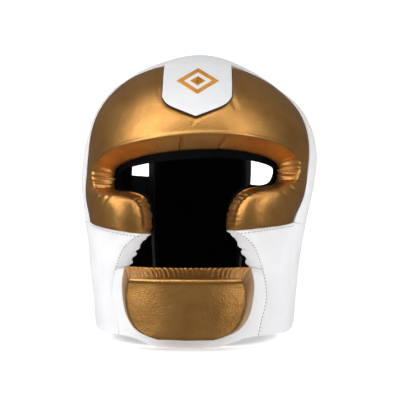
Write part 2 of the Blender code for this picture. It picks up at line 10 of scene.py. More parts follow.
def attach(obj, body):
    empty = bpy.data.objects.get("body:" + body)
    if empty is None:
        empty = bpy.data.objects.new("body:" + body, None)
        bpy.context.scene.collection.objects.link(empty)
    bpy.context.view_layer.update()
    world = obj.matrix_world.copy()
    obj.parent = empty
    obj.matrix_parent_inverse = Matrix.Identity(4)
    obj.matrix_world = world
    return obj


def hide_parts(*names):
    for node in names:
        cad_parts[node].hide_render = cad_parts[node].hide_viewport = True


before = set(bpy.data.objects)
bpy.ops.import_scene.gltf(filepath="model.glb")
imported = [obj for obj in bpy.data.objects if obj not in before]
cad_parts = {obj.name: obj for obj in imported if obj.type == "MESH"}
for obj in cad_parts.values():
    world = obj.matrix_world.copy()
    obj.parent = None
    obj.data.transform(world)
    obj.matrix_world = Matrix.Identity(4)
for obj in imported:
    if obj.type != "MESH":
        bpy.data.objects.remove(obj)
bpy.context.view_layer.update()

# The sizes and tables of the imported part, which the visible pieces are worked out from again.
MM = 0.001

# Outside of the padded shell.
SHELL_WIDTH = 225 * MM
SHELL_FRONT = 125 * MM
SHELL_BACK = 124.5 * MM
SHELL_TOP = 269 * MM
SHELL_SQUARENESS = 2.25

# Thickness of padding and lining together, at the widest level and at the top.
SIDE_WALL = 34.5 * MM
FRONT_WALL = 28 * MM
BACK_WALL = 26.5 * MM
TOP_WALL = 23 * MM

# Head cavity, measured inside the lining at the widest level.
CAVITY_WIDTH = SHELL_WIDTH - 2 * SIDE_WALL
CAVITY_FRONT = SHELL_FRONT - FRONT_WALL
CAVITY_BACK = SHELL_BACK - BACK_WALL
CAVITY_TOP = SHELL_TOP - TOP_WALL
CAVITY_SQUARENESS = 2.6
EQUATOR = 160 * MM
CROWN_TWIST = math.radians(2.7)
SIDE_LEAN = 5 * MM
LEAN_SHARPNESS = 6

# Thicknesses and seams.
LINING = 9 * MM
SEAM_GAP = 0.8 * MM
CROWN_GAP = 0.6 * MM
LAYER_GAP = 2.4 * MM
SHELL_GAP = 1 * MM
SEAM_ROUND = 8 * MM
HEM_DROP = 9 * MM
HEM_ROUND = 15 * MM

# Face opening. The lean makes the wearer's left side of it a little higher.
BROW_HEIGHT = 188 * MM
CHEEK_SEAM = 104 * MM
EYE_CORNER = 47.5
SEAM_LEAN = 2.8 * MM
LEAN_TURN = 25
CHEEK_BULGE = 8 * MM

# Outer seam of the gold pad.
SIDE_SEAM = 61
CHEEK_CORNER_HEIGHT = 111 * MM
CROWN_RISE = 11.5 * MM
FRONT_TOP = SHELL_TOP - CROWN_RISE

# Centre panel on the forehead.
SHIELD_WIDTH = 62 * MM
SHIELD_TIP = 206.5 * MM
SHIELD_SHOULDER = 224.5 * MM
SHIELD_SLOPE = 0.68
SHIELD_CORNER = 10
PANEL_THICKNESS = 2.2 * MM

# Chin guard.
CHIN_TOP = 69.5 * MM
CHIN_OVERLAP = 3.5 * MM
CHIN_SEAM = 42
CHIN_TURN_GAP = 0.3
CHIN_PAD_WIDTH = 118 * MM
CHIN_PAD_BOTTOM = 8 * MM
CHIN_PAD_THICKNESS = 20 * MM
CHIN_FACE_SIDE_INSET = 5 * MM
CHIN_FACE_TOP_INSET = 8 * MM
CHIN_FACE_BOTTOM_INSET = 1.5 * MM
JAW_BOTTOM = 8 * MM

# Ear opening.
EAR_AZIMUTH = 99
EAR_HEIGHT = 143 * MM
EAR_HOLE_WIDTH = 32 * MM
EAR_HOLE_TALL = 50 * MM
EAR_TURN_GAP = 1.1

# Back of the guard.
EAR_PAD_BACK = 129
NECK_PAD_BACK = 147
NECK_PAD_LONG_BACK = 153
REAR_PAD_EDGE = 151
REAR_PAD_SHORT_EDGE = 157
REAR_PAD_TOP = 206 * MM
REAR_PAD_BOTTOM = 40 * MM
NECK_SEAM_BACK = 96 * MM
STRAP_WIDTH = 56 * MM
STRAP_THICKNESS = 2.5 * MM
STRAP_MIDDLE = 117.5 * MM
STRAP_SLANT = 11 * MM
STRAP_START = 114

# The shell's and the cavity's level curves. Level is 0 at the bottom, 1 at the equator and 2 at the top.
# Rise is the height as a share of what lies below (-1 to 0) or above (0 to 1) the equator. The other
# columns are shares of the sizes above, and aside is one of SIDE_LEAN. The last row mirrors the crown,
# so that it is smooth at its top.
Level = namedtuple(
    "Level", "level rise shell_width shell_front shell_back cavity_width cavity_front cavity_back aside"
)
LEVELS = [
    Level(0.00, -1.000, 0.845, 0.845, 0.830, 0.86, 0.875, 0.80, -0.94),
    Level(0.25, -0.750, 0.868, 0.865, 0.860, 0.90, 0.885, 0.85, -0.94),
    Level(0.50, -0.500, 0.908, 0.895, 0.905, 0.95, 0.920, 0.92, -0.84),
    Level(0.75, -0.250, 0.962, 0.958, 0.965, 0.98, 0.970, 0.97, -0.58),
    Level(1.00, 0.000, 1.000, 1.000, 1.000, 1.00, 1.000, 1.00, -0.02),
    Level(1.20, 0.270, 0.971, 0.971, 0.971, 0.96, 0.960, 0.96, 0.28),
    Level(1.40, 0.530, 0.860, 0.866, 0.866, 0.85, 0.850, 0.85, -0.14),
    Level(1.60, 0.755, 0.632, 0.642, 0.642, 0.63, 0.630, 0.63, -0.78),
    Level(1.80, 0.925, 0.326, 0.332, 0.332, 0.33, 0.330, 0.33, -0.50),
    Level(2.00, 1.000, 0.000, 0.000, 0.000, 0.00, 0.000, 0.00, 0.00),
    Level(2.20, 0.925, -0.326, -0.332, -0.332, -0.33, -0.330, -0.33, -0.50),
]

# Stations of the brow and cheek pad, from the cheek seam round the eye gap to the middle of the brow.
# Turns are shares of EYE_CORNER, and climbs are shares of the height from CHEEK_SEAM to BROW_HEIGHT:
# of the face's edge, of the edge where the gusset meets the lining, and of the lining's own edge.
# Rim turns are shares of SIDE_SEAM, and rim climbs are shares from CHEEK_CORNER_HEIGHT to FRONT_TOP.
Brow = namedtuple("Brow", "face_turn face_climb back_turn back_climb lining_climb rim_turn rim_climb")
BROW_STATIONS = [
    Brow(0.420, 0.000, 0.432, 0.000, 0.000, 0.912, 0.000),
    Brow(0.412, 0.150, 0.415, 0.150, 0.150, 0.928, 0.045),
    Brow(0.445, 0.300, 0.450, 0.315, 0.330, 0.956, 0.095),
    Brow(0.550, 0.398, 0.565, 0.430, 0.440, 0.980, 0.145),
    Brow(0.735, 0.425, 0.775, 0.452, 0.460, 0.988, 0.190),
    Brow(0.930, 0.452, 0.950, 0.474, 0.486, 0.989, 0.235),
    Brow(1.065, 0.560, 1.035, 0.555, 0.555, 0.989, 0.290),
    Brow(1.065, 0.710, 1.030, 0.655, 0.630, 0.992, 0.370),
    Brow(0.930, 0.835, 0.900, 0.735, 0.690, 1.015, 0.500),
    Brow(0.740, 0.915, 0.730, 0.795, 0.735, 1.055, 0.640),
    Brow(0.555, 0.962, 0.540, 0.848, 0.775, 1.055, 0.790),
    Brow(0.425, 0.985, 0.420, 0.872, 0.795, 0.935, 0.930),
    Brow(0.315, 0.999, 0.315, 0.887, 0.808, 0.700, 1.100),
    Brow(0.210, 1.008, 0.210, 0.896, 0.816, 0.470, 1.150),
    Brow(0.105, 1.013, 0.105, 0.902, 0.821, 0.235, 1.150),
    Brow(0.000, 1.015, 0.000, 0.904, 0.823, 0.000, 1.150),
]
RIM_JUNCTION = 11

# Stations of the jaw pad, from the cheek seam down. Face and back turns are the edges beside the mouth
# and the chin guard, as shares of CHIN_SEAM, and the rear turn is a share of SIDE_SEAM. Climb is the
# share of the height from JAW_BOTTOM to the cheek seam.
Jaw = namedtuple("Jaw", "face_turn back_turn climb rear_turn")
JAW_STATIONS = [
    Jaw(0.475, 0.489, 1.000, 0.912),
    Jaw(0.640, 0.575, 0.925, 0.934),
    Jaw(0.790, 0.690, 0.800, 0.970),
    Jaw(0.893, 0.810, 0.656, 1.011),
    Jaw(0.990, 0.945, 0.450, 1.070),
    Jaw(0.995, 0.975, 0.300, 1.114),
    Jaw(0.930, 0.940, 0.120, 1.165),
    Jaw(0.900, 0.915, 0.000, 1.200),
]

# Bottom edge of the neck pad, from the jaw seam to the back. Turn goes from 0 at the seam to 1 at
# NECK_PAD_BACK, and height is a share of REAR_PAD_BOTTOM.
Hem = namedtuple("Hem", "turn height")
NECK_HEM = [Hem(0.0, 0.20), Hem(0.2, 0.03), Hem(0.42, -0.04), Hem(0.62, 0.16), Hem(0.82, 0.60), Hem(1.0, 0.98)]

# Seam between the crown and what lies below it, from the front to the back: azimuth in degrees, and
# height as a share from REAR_PAD_TOP to FRONT_TOP.
Crown = namedtuple("Crown", "azimuth height")
CROWN_SEAM = [Crown(*row) for row in (
    (-44, 0.935), (-31, 0.985), (-16, 1.000), (0, 1.000), (16, 1.000), (31, 0.985),
    (44, 0.935), (57, 0.800), (70, 0.665), (84, 0.555), (98, 0.450), (112, 0.330),
    (129, 0.180), (151, 0.045), (180, 0.000), (209, 0.045),
)]
CROWN_CORNERS = 45, 135

# Outline of the chin pad, from its bottom up: height as a share of the pad's height, and half-width as
# a share of half of CHIN_PAD_WIDTH.
Outline = namedtuple("Outline", "height half_width")
CHIN_OUTLINE = [Outline(*row) for row in (
    (0.00, 0.500), (0.06, 0.680), (0.13, 0.815), (0.22, 0.900),
    (0.34, 0.958), (0.52, 0.996), (0.76, 1.000), (1.00, 0.930),
)]

# Bottom and top of the chin bar from its middle to its seam: heights in shares of JAW_BOTTOM and
# CHIN_TOP. The first row mirrors the third.
Bar = namedtuple("Bar", "turn bottom top")
CHIN_BAR_ROWS = [Bar(*row) for row in (
    (-0.4, -0.02, 1.0), (0.0, -0.18, 1.0), (0.4, -0.02, 1.0), (0.7, 0.72, 1.0), (1.0, 1.00, 1.0),
)]


def spline(xs, ys, x):
    """Natural cubic spline through (xs, ys), read at x."""
    xs, ys, x = (np.asarray(values, float) for values in (xs, ys, x))
    step = np.diff(xs)
    system, load = np.eye(len(xs)), np.zeros(len(xs))
    for i in range(1, len(xs) - 1):
        system[i, i - 1 : i + 2] = step[i - 1], 2 * (step[i - 1] + step[i]), step[i]
        load[i] = 6 * ((ys[i + 1] - ys[i]) / step[i] - (ys[i] - ys[i - 1]) / step[i - 1])
    bend = np.linalg.solve(system, load)
    i = np.clip(np.searchsorted(xs, x) - 1, 0, len(xs) - 2)
    left, right, h = x - xs[i], xs[i + 1] - x, step[i]
    curve = (bend[i] * right**3 + bend[i + 1] * left**3) / (6 * h)
    return curve + (ys[i] / h - bend[i] * h / 6) * right + (ys[i + 1] / h - bend[i + 1] * h / 6) * left


def column(rows, name):
    return np.array([getattr(row, name) for row in rows], float)


def read(rows, key, name, at):
    """One column of a table as a smooth function of another."""
    keys, values = column(rows, key), column(rows, name)
    order = np.argsort(keys)
    return spline(keys[order], values[order], at)


def mirrored(rows, name, s, odd=False):
    """A column of a half table, read along the whole strip from one end (s 0) to the other (s 1)."""
    half = column(rows, name)
    whole = np.concatenate([-half if odd else half, half[-2::-1]])
    return spline(np.linspace(0, 1, len(whole)), whole, s)


def lerp(a, b, share):
    return a + (b - a) * share


def level_of(height):
    """Level of a height on the outside of the shell."""
    levels = np.linspace(-0.1, 2, 421)
    rise = spline(column(LEVELS, "level"), column(LEVELS, "rise"), levels)
    heights = np.where(rise < 0, EQUATOR * (1 + rise), EQUATOR + rise * (SHELL_TOP - EQUATOR))
    return np.interp(height, heights, levels)


def ring(azimuth, level, kind, width, front, back, top, squareness):
    """Points of the shell's or the cavity's surface at an azimuth in degrees and a level."""
    levels = column(LEVELS, "level")
    rise = spline(levels, column(LEVELS, "rise"), level)
    across = width / 2 * spline(levels, column(LEVELS, kind + "_width"), level)
    ahead = front * spline(levels, column(LEVELS, kind + "_front"), level)
    behind = back * spline(levels, column(LEVELS, kind + "_back"), level)
    angle = np.radians(azimuth)
    depth = np.where(np.cos(angle) > 0, ahead, behind)
    along_depth = np.abs(np.cos(angle)) / np.maximum(depth, 1e-6)
    along_width = np.abs(np.sin(angle)) / np.maximum(across, 1e-6)
    radius = (along_depth**squareness + along_width**squareness) ** (-1 / squareness)
    height = np.where(rise < 0, EQUATOR * (1 + rise), EQUATOR + rise * (top - EQUATOR))
    turned = angle + CROWN_TWIST * np.clip((level - 0.7) / 0.8, 0, 1)
    whole = 0.5 - 0.5 * np.tanh(LEAN_SHARPNESS * (level - 1))
    aside = SIDE_LEAN * spline(levels, column(LEVELS, "aside"), level) * lerp(np.sin(angle) ** 2, 1, whole)
    return np.stack([radius * np.sin(turned) + aside, -radius * np.cos(turned), height], -1)


def faces_of_wall(azimuth, level):
    """Matching points of the cavity and of the shell."""
    cavity = CAVITY_WIDTH, CAVITY_FRONT, CAVITY_BACK, CAVITY_TOP, CAVITY_SQUARENESS
    shell = SHELL_WIDTH, SHELL_FRONT, SHELL_BACK, SHELL_TOP, SHELL_SQUARENESS
    return ring(azimuth, level, "cavity", *cavity), ring(azimuth, level, "shell", *shell)


def wall(azimuth, level, depth):
    """Points in the padded wall. Depth is in metres from the cavity, along the line to the shell."""
    azimuth, level, depth = np.broadcast_arrays(azimuth, level, depth)
    inside, outside = faces_of_wall(azimuth, level)
    thickness = np.linalg.norm(outside - inside, axis=-1, keepdims=True)
    return inside + (outside - inside) * depth[..., None] / thickness


def thickness_at(azimuth, level):
    """Thickness of the padded wall."""
    inside, outside = faces_of_wall(azimuth, level)
    return np.linalg.norm(outside - inside, axis=-1)


def shell_point(azimuth, level):
    return wall(azimuth, level, thickness_at(azimuth, level))


def lean(azimuth):
    return SEAM_LEAN * np.tanh(azimuth / LEAN_TURN)


def crown_height(azimuth):
    """Height of the crown's seam."""
    share = read(CROWN_SEAM, "azimuth", "height", np.abs(azimuth))
    return lerp(REAR_PAD_TOP, FRONT_TOP, share)


def under_crown(azimuth):
    """Height of the top seam of the pieces that meet the crown."""
    return crown_height(azimuth) - CROWN_GAP


def gold_rim(s):
    """Outer seam of the brow and cheek pad: azimuth and height."""
    azimuth = SIDE_SEAM * mirrored(BROW_STATIONS, "rim_turn", s, odd=True)
    height = lerp(CHEEK_CORNER_HEIGHT, FRONT_TOP, mirrored(BROW_STATIONS, "rim_climb", s))
    return azimuth, np.minimum(height, under_crown(azimuth))


def opening_edge(s, kind, climb_kind):
    """Edge of the face opening: azimuth and height."""
    azimuth = EYE_CORNER * mirrored(BROW_STATIONS, kind + "_turn", s, odd=True)
    height = lerp(CHEEK_SEAM, BROW_HEIGHT, mirrored(BROW_STATIONS, climb_kind + "_climb", s))
    return azimuth, height + lean(azimuth)


def to_rim(azimuth, height, s, t):
    """Azimuth and level on the way from the face opening to the outer seam."""
    rim_azimuth, rim_height = gold_rim(s)
    return lerp(azimuth, rim_azimuth, t), lerp(level_of(height), level_of(rim_height), t)


def brow_chart(s, t, u):
    face = opening_edge(s, "face", "face")
    back = opening_edge(s, "back", "back")
    return to_rim(*(lerp(back[i], face[i], u) for i in range(2)), s, t)


def brow_lining_chart(s, t, u):
    return to_rim(*opening_edge(s, "back", "lining"), s, t)


def jaw_front(climb, u):
    """Azimuth of the jaw pad's front edge."""
    back, face = (read(JAW_STATIONS, "climb", name, climb) for name in ("back_turn", "face_turn"))
    return CHIN_SEAM * lerp(back, face, u)


def jaw_edge(height, u):
    """The same at a height."""
    return jaw_front((height - JAW_BOTTOM) / (CHEEK_SEAM - JAW_BOTTOM), u)


def above_chin(climb):
    """1 at the cheek seam, falling to 0 at the top of the chin bar."""
    chin = (CHIN_TOP - JAW_BOTTOM) / (CHEEK_SEAM - JAW_BOTTOM)
    return np.clip((climb - chin) / (1 - chin), 0, 1)


def jaw_chart(side):
    def chart(s, t, u):
        climb = 1 - s
        front = jaw_front(climb, u)
        rear = SIDE_SEAM * read(JAW_STATIONS, "climb", "rear_turn", climb)
        front_height = lerp(JAW_BOTTOM, CHEEK_SEAM, climb) + lean(side * front) * above_chin(climb)
        rear_height = lerp(JAW_BOTTOM, CHEEK_CORNER_HEIGHT, climb)
        level = lerp(level_of(front_height), level_of(rear_height), t)
        return side * lerp(front, rear, t), level

    return chart


def neck_seam(azimuth):
    """Height of the seam between the ear and neck pads."""
    start = SIDE_SEAM * BROW_STATIONS[0].rim_turn
    share = (azimuth - start) / (NECK_PAD_BACK - start)
    return lerp(CHEEK_CORNER_HEIGHT, NECK_SEAM_BACK, share)


def neck_chart(side):
    back = NECK_PAD_LONG_BACK if side > 0 else NECK_PAD_BACK

    def chart(s, t, u):
        front = SIDE_SEAM * read(JAW_STATIONS, "climb", "rear_turn", t)
        azimuth = lerp(front, back, s)
        hem = REAR_PAD_BOTTOM * read(NECK_HEM, "turn", "height", s)
        return side * azimuth, lerp(level_of(hem), level_of(neck_seam(azimuth)), t)

    return chart


def ear_border(s):
    """Outer border of the ear pad from its lower front corner round by the top, a quarter of s to each
    of its four sides: azimuth and height."""
    quarter = np.floor(s * 4)
    share = s * 4 - quarter
    rim_end = RIM_JUNCTION / (2 * len(BROW_STATIONS) - 2)
    rim_azimuth, rim_height = gold_rim(share * rim_end)
    rim_azimuth = rim_azimuth - EAR_TURN_GAP
    top_start = EAR_TURN_GAP - gold_rim(np.array(rim_end))[0]
    top_azimuth = lerp(top_start, EAR_PAD_BACK, share)
    rear_height = lerp(under_crown(EAR_PAD_BACK), neck_seam(EAR_PAD_BACK), share)
    low_azimuth = lerp(EAR_PAD_BACK, SIDE_SEAM * BROW_STATIONS[0].rim_turn, share)
    rear_azimuth = np.full_like(share, EAR_PAD_BACK)
    sides = [quarter == k for k in range(3)]
    azimuth = np.select(sides, [-rim_azimuth, top_azimuth, rear_azimuth], low_azimuth)
    height = np.select(sides, [rim_height, under_crown(top_azimuth), rear_height], neck_seam(low_azimuth))
    return azimuth, height


def ear_chart(side):
    def chart(s, t, u):
        around = np.radians(225 - 360 * s)
        half_turn = math.degrees(EAR_HOLE_WIDTH / SHELL_WIDTH)
        hole_azimuth = EAR_AZIMUTH + half_turn * np.cos(around)
        hole_height = EAR_HEIGHT + EAR_HOLE_TALL / 2 * np.sin(around)
        azimuth, height = ear_border(s % 1)
        level = lerp(level_of(hole_height), level_of(height), t)
        return side * lerp(hole_azimuth, azimuth, t), level

    return chart


def crown_border(azimuth):
    """A point of the crown's seam on a flat map, where the distance from the middle is 2 - level."""
    reach = 2 - level_of(crown_height((azimuth + 180) % 360 - 180))
    return np.stack([reach * np.sin(np.radians(azimuth)), reach * np.cos(np.radians(azimuth))])


def crown_chart(s, t, u):
    front, back = CROWN_CORNERS
    s, t = np.broadcast_arrays(s, t)
    ends = lerp(crown_border(lerp(-front, front, s)), crown_border(lerp(-back, back - 360, s) % 360), t)
    sides = lerp(crown_border(-lerp(front, back, t)), crown_border(lerp(front, back, t)), s)
    corners = [crown_border(np.full_like(s, turn)) for turn in (-front, front, -back, back)]
    point = ends + sides - lerp(lerp(*corners[:2], s), lerp(*corners[2:], s), t)
    return np.degrees(np.arctan2(point[0], point[1])), 2 - np.hypot(point[0], point[1])


def rear_chart(s, t, u):
    azimuth = lerp(REAR_PAD_SHORT_EDGE, 360 - REAR_PAD_EDGE, s)
    top = under_crown((azimuth + 180) % 360 - 180)
    return azimuth, lerp(level_of(REAR_PAD_BOTTOM), level_of(top), t)


def strap_chart(s, t, u):
    azimuth = lerp(STRAP_START, 360 - STRAP_START, s)
    middle = STRAP_MIDDLE + STRAP_SLANT * (2 * s - 1)
    return azimuth, level_of(middle + STRAP_WIDTH * (t - 0.5))


def chin_bar_chart(s, t, u):
    turn = 2 * s - 1
    bottom = JAW_BOTTOM * read(CHIN_BAR_ROWS, "turn", "bottom", np.abs(turn))
    top = CHIN_TOP * read(CHIN_BAR_ROWS, "turn", "top", np.abs(turn))
    height = lerp(bottom, top, t)
    return turn * (jaw_edge(np.maximum(height, JAW_BOTTOM), u) - CHIN_TURN_GAP), level_of(height)


def chin_pad_chart(s, t, u):
    """The face (u 1) is smaller than the back, with the gusset between them."""
    bottom = CHIN_PAD_BOTTOM + CHIN_FACE_BOTTOM_INSET * u
    top = CHIN_TOP + CHIN_OVERLAP - CHIN_FACE_TOP_INSET * u
    half_width = CHIN_PAD_WIDTH / 2 * read(CHIN_OUTLINE, "height", "half_width", t) - CHIN_FACE_SIDE_INSET * u
    reach = SHELL_FRONT * LEVELS[1].shell_front + CHIN_PAD_THICKNESS * u
    azimuth = np.degrees(np.arcsin(half_width * (2 * s - 1) / reach))
    return azimuth, level_of(lerp(bottom, top, t))


def shield_chart(s, t, u):
    """The front panel: straight sides, and a bottom edge that runs down to a tip."""
    across = SHIELD_WIDTH / 2 * (2 * s - 1)
    out = np.abs(2 * s - 1)
    bottom = level_of(lerp(SHIELD_TIP, SHIELD_SHOULDER, lerp(out**SHIELD_CORNER, out, SHIELD_SLOPE)))
    azimuth = np.zeros(np.broadcast(s, t).shape)
    for _ in range(8):
        level = lerp(bottom, level_of(crown_height(azimuth)), t)
        reach = np.hypot(*np.moveaxis(shell_point(azimuth, level)[..., :2], -1, 0))
        azimuth = np.degrees(np.arcsin(np.clip(across / reach, -0.95, 0.95)))
    return azimuth, level


def cheek_bulge(s, t):
    """Extra fullness of the cheeks, next to the cheek seams."""
    near_end = np.clip(1 - np.minimum(s, 1 - s) / 0.2, 0, 1)
    return CHEEK_BULGE * np.sin(math.pi / 2 * near_end) * np.sin(math.pi * np.clip(t, 0, 1)) ** 0.7


# How finely the visible skins are drawn.
FINENESS = 1.0
GUSSET_ROWS = 9
SKIN_BUNCHING = 0.62
LINING_UNEVEN = 0.5 * MM
LINING_ROUND = 3 * MM
LINING_WAVE = 30 * MM


def line_length(points):
    """Lengths of lines of points."""
    return np.linalg.norm(np.diff(points, axis=-2), axis=-1).sum(-1)


def marks(length, count):
    """Shares of a line of each length where its grid has points, closer together near its ends."""
    first = SEAM_GAP / 2 / np.asarray(length, float)[..., None]
    even = np.linspace(0, 1, count)
    bunched = 0.5 - 0.5 * np.cos(math.pi * even)
    return lerp(first, 1 - first, lerp(even, bunched, SKIN_BUNCHING))


def grid_shares(chart, counts, closed):
    """Shares (s, t) of a skin's points."""
    fine = np.linspace(0, 1, 31)
    rows, columns = (max(8, int(count * FINENESS)) for count in counts)
    if closed:
        line = np.arange(rows) / rows
        s_shares = np.repeat(line[:, None], columns, axis=1)
    else:
        s, t = np.meshgrid(fine, np.linspace(0, 1, columns), indexing="ij")
        along_s = line_length(np.moveaxis(shell_point(*chart(s, t, 1.0)), 0, -2))
        s_shares = marks(along_s, rows).T
    s, t = np.meshgrid(s_shares.mean(axis=1), fine, indexing="ij")
    return s_shares, marks(line_length(shell_point(*chart(s, t, 1.0))), columns)


def edge_distances(chart, s, t, closed):
    """Distances of each point from the patch's first and last edge in t, and from its nearest end."""
    surface = shell_point(*chart(s, t, 1.0))
    length_t = line_length(surface)[:, None]
    length_s = line_length(np.moveaxis(surface, 0, -2))[None, :]
    ends = np.full(s.shape, 1.0) if closed else np.minimum(s, 1 - s) * length_s
    return t * length_t, (1 - t) * length_t, ends


def round_profile(distance, width=SEAM_ROUND):
    """0 at a seam, rising as a quarter circle to 1 at the given distance from it."""
    share = np.clip(distance / width, 0, 1)
    return np.sqrt(1 - (1 - share) ** 2)


def hem_drop(azimuth, level):
    """How far the face draws in near the floor: fully at the sides, and not in the middle of the chin."""
    height = shell_point(azimuth, level)[..., 2]
    return HEM_DROP * np.sin(np.radians(azimuth)) ** 2 * (1 - round_profile(height, HEM_ROUND))


def normals_of(points, closed):
    """Outward normals of a grid of points."""
    if closed:
        along_s = np.roll(points, -1, 0) - np.roll(points, 1, 0)
    else:
        along_s = np.gradient(points, axis=0)
    along_t = np.gradient(points, axis=1)
    normal = np.cross(along_s, along_t)
    normal /= np.maximum(np.linalg.norm(normal, axis=-1, keepdims=True), 1e-12)
    centre = np.array([0, 0, EQUATOR])
    outward = np.sum(normal * (points - centre), axis=-1, keepdims=True)
    return normal * np.sign(np.mean(outward))


def bell(value, middle, width):
    """1 at the middle, fading to 0 on both sides."""
    return np.exp(-(((value - middle) / width) ** 2))


def wrinkles(points, size, seed):
    """Soft random unevenness between about -1 and 1, with waves of a size in metres."""
    random = np.random.default_rng(seed)
    total = np.zeros(points.shape[:-1])
    for _ in range(9):
        direction = random.normal(size=3)
        direction /= np.linalg.norm(direction)
        turn = 2 * math.pi / (size * random.uniform(0.7, 1.6))
        total += np.sin(points @ direction * turn + random.uniform(0, 2 * math.pi))
    return total / 4.2


# Creases in the front view: from x0, z0 to x1, z1, with the valley's half-width and its depth, in mm.
Fold = namedtuple("Fold", "x0 z0 x1 z1 width depth")
FOLD_SHOULDER = 2.3
FOLD_REACH = 30 * MM


def crease(points, fold):
    """A crease between two places of the front view: a valley with raised shoulders."""
    start = np.array([fold.x0, fold.z0]) * MM
    run = np.array([fold.x1, fold.z1]) * MM - start
    flat = points[..., [0, 2]] - start
    share = np.clip(flat @ run / (run @ run), 0, 1)
    away = np.linalg.norm(flat - share[..., None] * run, axis=-1) / (fold.width * MM)
    front = np.clip(-points[..., 1] / FOLD_REACH, 0, 1)
    fade = np.sin(math.pi * (0.12 + 0.76 * share))
    return fold.depth * MM * front * fade * (0.5 * bell(away, 0, FOLD_SHOULDER) - bell(away, 0, 1))


def index_quads(grid):
    """The four corners of every cell of a grid of indices."""
    corners = grid[:-1, :-1], grid[1:, :-1], grid[1:, 1:], grid[:-1, 1:]
    return np.stack(corners, -1).reshape(-1, 4)


def gusset_points(outer, inner, outward, swell):
    """Rows between the face's edge and the back's edge. Swell gives how far a row bulges outward."""
    rows = []
    for share in np.linspace(0, 1, GUSSET_ROWS + 1)[1:-1]:
        away = np.broadcast_to(swell(share), outer.shape[:-1])[..., None]
        rows.append(lerp(outer, inner, share) + outward * away)
    return np.stack(rows, 1)


def away_from(edge, inner):
    """Unit directions at an edge that point out of its patch."""
    direction = edge - inner
    return direction / np.maximum(np.linalg.norm(direction, axis=-1, keepdims=True), 1e-12)


def solid_of(name, face, back, closed, swells):
    """A closed mesh from a face, a back and the gussets between their edges."""
    rows, columns = face.shape[:2]
    face_index = np.arange(rows * columns).reshape(rows, columns)
    back_index = face_index + rows * columns
    vertices = [face.reshape(-1, 3), back.reshape(-1, 3)]
    wrap = np.array([rows - 1, 0])
    quads = [index_quads(face_index), index_quads(back_index)]
    if closed:
        quads += [index_quads(face_index[wrap]), index_quads(back_index[wrap])]

    def gusset(edge, inner, swell, kept=slice(None)):
        outward = away_from(face[edge], face[inner])
        made = keep_above_floor(gusset_points(face[edge], back[edge], outward, swell)[kept])
        index = np.arange(made[..., 0].size).reshape(made.shape[:2]) + sum(len(part) for part in vertices)
        vertices.append(made.reshape(-1, 3))
        return index

    sides = []
    for swell, edge, inner in ((swells[0], 0, 3), (swells[1], -1, -4)):
        sides.append(gusset(np.s_[:, edge], np.s_[:, inner], swell))
        strip = np.concatenate([face_index[:, [edge]], sides[-1], back_index[:, [edge]]], 1)
        quads.append(index_quads(strip))
        if closed:
            quads.append(index_quads(strip[wrap]))
    for edge, inner in () if closed else ((0, 3), (-1, -4)):
        index = gusset(edge, inner, swells[2], slice(1, -1))
        index = np.concatenate([sides[0][[edge]], index, sides[1][[edge]]], 0)
        strip = np.concatenate([face_index[edge][:, None], index, back_index[edge][:, None]], 1)
        quads.append(index_quads(strip))
    mesh = bpy.data.meshes.new(name)
    mesh.from_pydata(np.concatenate(vertices).tolist(), [], np.concatenate(quads).tolist())
    shape = bmesh.new()
    shape.from_mesh(mesh)
    bmesh.ops.recalc_face_normals(shape, faces=shape.faces)
    shape.to_mesh(mesh)
    shape.free()
    return mesh


def keep_above_floor(points):
    """The same points, with none under the floor."""
    lifted = points.copy()
    lifted[..., 2] = np.maximum(lifted[..., 2], 0.0)
    return lifted


def add(name, data, look):
    """A new object with one material, which rides the body."""
    data.materials.append(LOOKS[look])
    if isinstance(data, bpy.types.Mesh):
        data.shade_smooth()
    made = bpy.data.objects.new(name, data)
    bpy.context.scene.collection.objects.link(made)
    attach(made, "root")
    return made


def place(mesh, look, node):
    """A visible piece that stands for one node."""
    obj = add(mesh.name, mesh, look)
    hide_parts(node)
    return obj


# How a skin ends: the width of its rounding, how far that draws in, and how far the gusset bulges. Each
# is in mm, or is a function of the share s along the edge.
Edge = namedtuple("Edge", "width drop bulge")
SEAM = Edge(3, 0.6, 0.4)
RIM = Edge(3, 1.0, 0.4)
FLAT = Edge(0.0, 0.0, 0.0)
ROLLED = Edge(0.0, 0.0, 1.5)

# A skin's face, with each point's distances from the edge at t 0 and from the ends at s 0 and s 1.
Skin = namedtuple("Skin", "face first start finish")


def at_share(value, s):
    """One of an edge's values in metres, at the share s."""
    return (value(s) if callable(value) else value) * MM


def swell_of(edge, s, ripple=None):
    """How far the rows of a gusset bulge out: quickly at its seams, and with its own ripples."""

    def swell(share):
        hump = math.sin(math.pi * share) ** 0.6
        out = at_share(edge.bulge, s) * hump
        return out + hump * ripple(s, share) if ripple else out

    return swell


